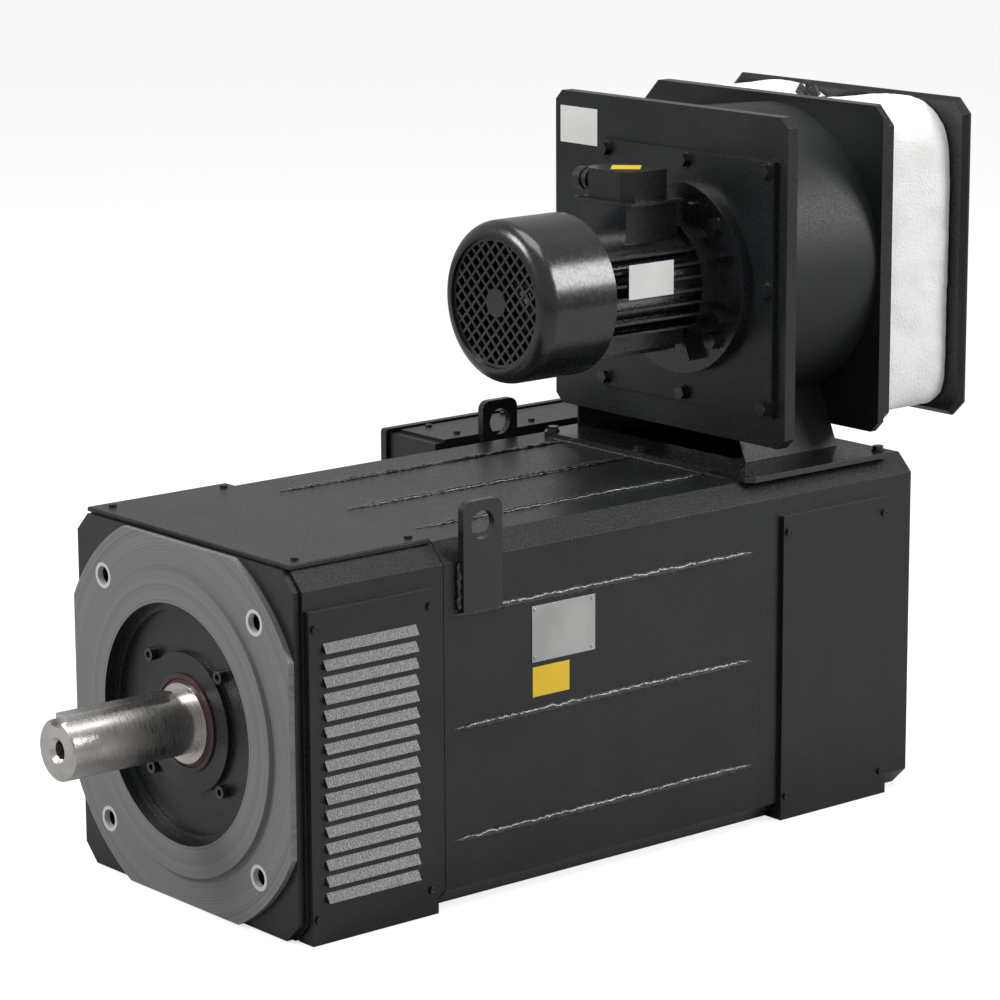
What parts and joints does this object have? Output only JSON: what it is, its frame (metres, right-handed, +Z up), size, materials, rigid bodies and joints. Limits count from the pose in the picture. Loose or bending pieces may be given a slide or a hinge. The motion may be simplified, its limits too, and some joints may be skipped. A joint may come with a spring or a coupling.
{
  "type": "electric motor",
  "caption": "Square-frame flange-mounted vector motor with keyed shaft, top-mounted centrifugal blower, finned fan motor, air filter, terminal box and louvred outlets.",
  "frame": {"origin": "centre of the mounting flange's machined face, on the shaft axis", "axes": "shaft points to -Y, body runs to +Y, +X is the side with the nameplate, +Z is up towards the blower"},
  "size_m": [0.4706, 1.0326, 0.734],
  "materials": {
    "painted": "satin, fine orange peel",
    "cast": "primed",
    "steel": "machined",
    "lamination": "stacked sheet",
    "copper": "varnished wire",
    "alloy": "satin",
    "brass": "satin",
    "seal": "satin",
    "gasket": "matt",
    "plastic": "matt",
    "yellow_label": "printed film, left blank",
    "white_label": "printed film, left blank",
    "fleece": "fibrous, matt"
  },
  "bodies": {
    "housing": {"flange_shield": "painted", "stator_frame": "painted", "front_housing": "painted", "rear_housing": "painted", "rear_end_plate": "painted", "top_cover": "painted", "louvre_panel_right": "painted", "louvre_panel_left": "painted", "side_panel_right": "painted", "cover_screws": "painted", "lifting_eyes": "painted", "terminal_box": "painted", "terminal_box_lid": "painted", "gland_plate": "painted", "terminal_box_screws": "painted", "blower_base": "painted", "blower_front_plate": "painted", "blower_back_plate": "painted", "blower_scroll": "painted", "adapter_plate": "painted", "blower_bolts": "painted", "fan_motor_flange": "painted", "fan_motor_housing": "painted", "fan_cowl": "painted", "fan_grille": "painted", "fan_box_lid": "painted", "filter_plate": "painted", "bearing_cap_screws": "painted", "de_bearing_cap": "cast", "nde_shield": "cast", "nde_bearing_cap": "cast", "bearing_outer_rings": "steel", "inlet_cone": "steel", "filter_cage": "steel", "stator_core": "lamination", "fan_motor_stator": "lamination", "stator_windings": "copper", "encoder_body": "alloy", "nameplate": "alloy", "terminal_studs": "brass", "shaft_seal": "seal", "terminal_box_gasket": "gasket", "terminal_block": "plastic", "cable_gland": "plastic", "yellow_labels": "yellow_label", "white_labels": "white_label", "filter_fleece": "fleece"},
    "rotor": {"shaft": "steel", "shaft_key": "steel", "seal_sleeve": "steel", "rotor_core": "lamination", "rotor_cage": "alloy", "bearing_inner_rings": "steel"},
    "ball_sets": {"bearing_balls": "steel"},
    "fan_rotor": {"fan_motor_rotor": "steel", "impeller": "alloy", "cooling_fan": "plastic"},
    "clamp": {"clamp_bar": "steel"},
    "wing_nut": {"wing_nut": "steel"}
  },
  "joints": [
    {"name": "shaft_spin", "type": "hinge", "parent": "housing", "child": "rotor", "pos_m": [0, 0, 0], "axis": [0, -1, 0], "continuous": true},
    {"name": "bearing_roll", "type": "hinge", "parent": "housing", "child": "ball_sets", "pos_m": [0, 0, 0], "axis": [0, -1, 0], "continuous": true},
    {"name": "fan_spin", "type": "hinge", "parent": "housing", "child": "fan_rotor", "pos_m": [0.033, 0, 0.371], "axis": [0, -1, 0], "continuous": true},
    {"name": "clamp_lift", "type": "slide", "parent": "housing", "child": "clamp", "axis": [0, 0, 1], "range_m": [0, 0.005]},
    {"name": "wing_nut_turn", "type": "hinge", "parent": "clamp", "child": "wing_nut", "pos_m": [0, 0.831, 0.534], "axis": [0, 0, 1], "range_deg": [0, 1441]}
  ],
  "couplings": [
    {"joint": "bearing_roll", "follows": "shaft_spin", "ratio": 0.3839},
    {"joint": "wing_nut_turn", "follows": "clamp_lift", "rad_per_m": 5026.5}
  ]
}
